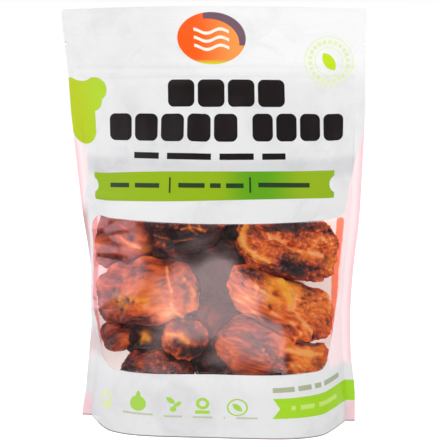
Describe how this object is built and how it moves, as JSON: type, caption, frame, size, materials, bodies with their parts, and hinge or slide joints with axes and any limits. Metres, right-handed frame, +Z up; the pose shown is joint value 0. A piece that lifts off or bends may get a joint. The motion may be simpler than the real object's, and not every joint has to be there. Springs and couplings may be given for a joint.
{
  "type": "stand-up pouch of oven-dried fish",
  "caption": "Sealed stand-up pouch with a wide flat top, a bulging belly on a folded bottom, and a clear front window that shows curled pieces of oven-dried fish.",
  "frame": {"origin": "on the floor, under the middle of the top weld, which is the middle of the whole pouch", "axes": "+Z up, +X to the right as the printed front is seen, and the front faces -Y"},
  "size_m": [0.2277, 0.091, 0.323],
  "materials": {
    "pouch_film": "satin",
    "window_film": "gloss",
    "dried_fish": "oily"
  },
  "bodies": {
    "root": {"pouch": "pouch_film", "window": "window_film", "fish_mid_left": "dried_fish", "fish_top_right": "dried_fish", "fish_mid_right": "dried_fish", "fish_low_right": "dried_fish", "fish_top_left": "dried_fish", "fish_low_middle": "dried_fish", "fish_low_left": "dried_fish", "fish_foot_left": "dried_fish", "fish_low_behind": "dried_fish", "fish_top_middle": "dried_fish", "fish_core_upper": "dried_fish", "fish_core_lower": "dried_fish", "fish_back_top": "dried_fish"}
  },
  "joints": []
}
